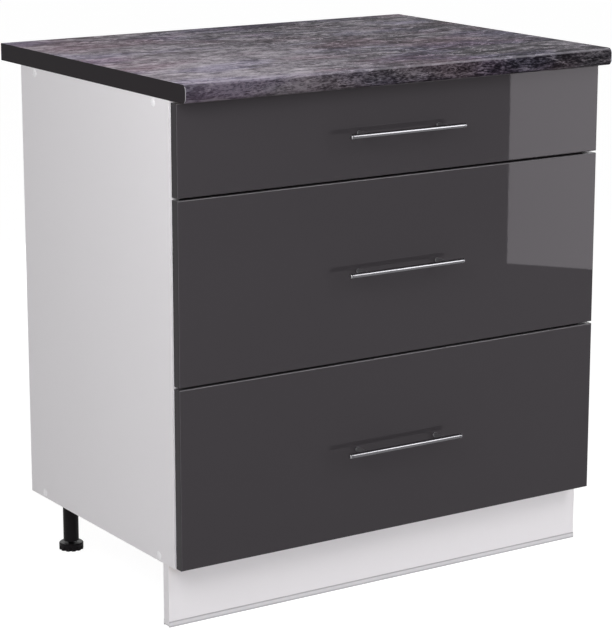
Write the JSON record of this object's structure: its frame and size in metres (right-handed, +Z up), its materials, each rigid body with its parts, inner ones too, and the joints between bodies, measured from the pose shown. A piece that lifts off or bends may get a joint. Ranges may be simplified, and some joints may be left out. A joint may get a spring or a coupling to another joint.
{
  "type": "kitchen base cabinet",
  "caption": "Kitchen base cabinet with gloss drawer fronts, straight bar handles, a wrapped-edge worktop, a plinth and adjustable legs.",
  "frame": {"origin": "on the floor, in the middle of the whole cabinet's box", "axes": "+Z up, -Y out of the drawer fronts, +X to the right of someone who faces the drawers"},
  "size_m": [0.8024, 0.602, 0.85],
  "materials": {
    "board_white": "white melamine-faced chipboard, satin",
    "back_board": "thin white-faced hardboard",
    "edge_band": "white plastic edge band",
    "worktop_board": "raw chipboard",
    "worktop_laminate": "dark slate-pattern laminate, matt",
    "worktop_ends": "plain near-black edge strip",
    "plinth_seal": "grey flexible sealing profile",
    "leg_plastic": "black moulded plastic",
    "screw_steel": "zinc-plated steel",
    "cover_cap": "white plastic cap",
    "dowel_wood": "beech",
    "front_gloss": "fibreboard with a high-gloss dark grey film",
    "handle_metal": "polished metal",
    "drawer_steel": "light grey powder coat",
    "drawer_board": "white melamine-faced chipboard",
    "runner_steel": "light grey powder coat",
    "roller_nylon": "white nylon"
  },
  "bodies": {
    "cabinet": {"side_panel_left": "board_white", "side_panel_right": "board_white", "bottom_panel": "board_white", "front_rail": "board_white", "rear_rail": "board_white", "back_panel": "back_board", "panel_edge_bands": "edge_band", "dowels": "dowel_wood", "carcass_screws": "screw_steel", "cover_caps": "cover_cap", "worktop_laminate": "worktop_laminate", "worktop_core": "worktop_board", "worktop_end_bands": "worktop_ends", "worktop_screws": "screw_steel", "leg_bodies": "leg_plastic", "leg_screws": "screw_steel", "plinth_seal": "plinth_seal", "plinth_board": "board_white", "plinth_clips": "leg_plastic", "runner_screws": "screw_steel", "runners_bottom": "runner_steel", "runners_middle": "runner_steel", "runners_top": "runner_steel"},
    "top_drawer": {"front_top": "front_gloss", "drawer_side_left_top": "drawer_steel", "drawer_side_right_top": "drawer_steel", "drawer_bottom_top": "drawer_board", "drawer_back_top": "drawer_board", "handle_bar_top": "handle_metal", "handle_posts_top": "handle_metal", "handle_screws_top": "screw_steel", "drawer_screws_top": "screw_steel"},
    "top_runner_rollers": {"runner_rollers_top": "roller_nylon"},
    "top_drawer_rollers": {"drawer_rollers_top": "roller_nylon"},
    "middle_drawer": {"front_middle": "front_gloss", "drawer_side_left_middle": "drawer_steel", "drawer_side_right_middle": "drawer_steel", "drawer_bottom_middle": "drawer_board", "drawer_back_middle": "drawer_board", "handle_bar_middle": "handle_metal", "handle_posts_middle": "handle_metal", "handle_screws_middle": "screw_steel", "drawer_screws_middle": "screw_steel"},
    "middle_runner_rollers": {"runner_rollers_middle": "roller_nylon"},
    "middle_drawer_rollers": {"drawer_rollers_middle": "roller_nylon"},
    "bottom_drawer": {"front_bottom": "front_gloss", "drawer_side_left_bottom": "drawer_steel", "drawer_side_right_bottom": "drawer_steel", "drawer_bottom_bottom": "drawer_board", "drawer_back_bottom": "drawer_board", "handle_bar_bottom": "handle_metal", "handle_posts_bottom": "handle_metal", "handle_screws_bottom": "screw_steel", "drawer_screws_bottom": "screw_steel"},
    "bottom_runner_rollers": {"runner_rollers_bottom": "roller_nylon"},
    "bottom_drawer_rollers": {"drawer_rollers_bottom": "roller_nylon"},
    "front_left_foot": {"foot_front_left": "leg_plastic"},
    "front_right_foot": {"foot_front_right": "leg_plastic"},
    "rear_left_foot": {"foot_rear_left": "leg_plastic"},
    "rear_right_foot": {"foot_rear_right": "leg_plastic"}
  },
  "joints": [
    {"name": "top_drawer_slide", "type": "slide", "parent": "cabinet", "child": "top_drawer", "axis": [0, -1, 0], "range_m": [0, 0.35]},
    {"name": "top_runner_roller_spin", "type": "hinge", "parent": "cabinet", "child": "top_runner_rollers", "pos_m": [0, -0.235, 0.7105], "axis": [1, 0, 0], "range_deg": [-10, 2238]},
    {"name": "top_drawer_roller_spin", "type": "hinge", "parent": "top_drawer", "child": "top_drawer_rollers", "pos_m": [0, 0.183, 0.712], "axis": [1, 0, 0], "range_deg": [-10, 1920]},
    {"name": "middle_drawer_slide", "type": "slide", "parent": "cabinet", "child": "middle_drawer", "axis": [0, -1, 0], "range_m": [0, 0.35]},
    {"name": "middle_runner_roller_spin", "type": "hinge", "parent": "cabinet", "child": "middle_runner_rollers", "pos_m": [0, -0.235, 0.422], "axis": [1, 0, 0], "range_deg": [-10, 2238]},
    {"name": "middle_drawer_roller_spin", "type": "hinge", "parent": "middle_drawer", "child": "middle_drawer_rollers", "pos_m": [0, 0.183, 0.4235], "axis": [1, 0, 0], "range_deg": [-10, 1920]},
    {"name": "bottom_drawer_slide", "type": "slide", "parent": "cabinet", "child": "bottom_drawer", "axis": [0, -1, 0], "range_m": [0, 0.35]},
    {"name": "bottom_runner_roller_spin", "type": "hinge", "parent": "cabinet", "child": "bottom_runner_rollers", "pos_m": [0, -0.235, 0.1335], "axis": [1, 0, 0], "range_deg": [-10, 2238]},
    {"name": "bottom_drawer_roller_spin", "type": "hinge", "parent": "bottom_drawer", "child": "bottom_drawer_rollers", "pos_m": [0, 0.183, 0.135], "axis": [1, 0, 0], "range_deg": [-10, 1920]},
    {"name": "front_left_foot_height", "type": "slide", "parent": "cabinet", "child": "front_left_foot", "axis": [0, 0, -1], "range_m": [-0.002, 0.02]},
    {"name": "front_right_foot_height", "type": "slide", "parent": "cabinet", "child": "front_right_foot", "axis": [0, 0, -1], "range_m": [-0.002, 0.02]},
    {"name": "rear_left_foot_height", "type": "slide", "parent": "cabinet", "child": "rear_left_foot", "axis": [0, 0, -1], "range_m": [-0.002, 0.02]},
    {"name": "rear_right_foot_height", "type": "slide", "parent": "cabinet", "child": "rear_right_foot", "axis": [0, 0, -1], "range_m": [-0.002, 0.02]}
  ],
  "couplings": [
    {"joint": "top_runner_roller_spin", "follows": "top_drawer_slide", "rad_per_m": 111.11},
    {"joint": "top_drawer_roller_spin", "follows": "top_drawer_slide", "rad_per_m": 95.238},
    {"joint": "middle_runner_roller_spin", "follows": "middle_drawer_slide", "rad_per_m": 111.11},
    {"joint": "middle_drawer_roller_spin", "follows": "middle_drawer_slide", "rad_per_m": 95.238},
    {"joint": "bottom_runner_roller_spin", "follows": "bottom_drawer_slide", "rad_per_m": 111.11},
    {"joint": "bottom_drawer_roller_spin", "follows": "bottom_drawer_slide", "rad_per_m": 95.238}
  ]
}
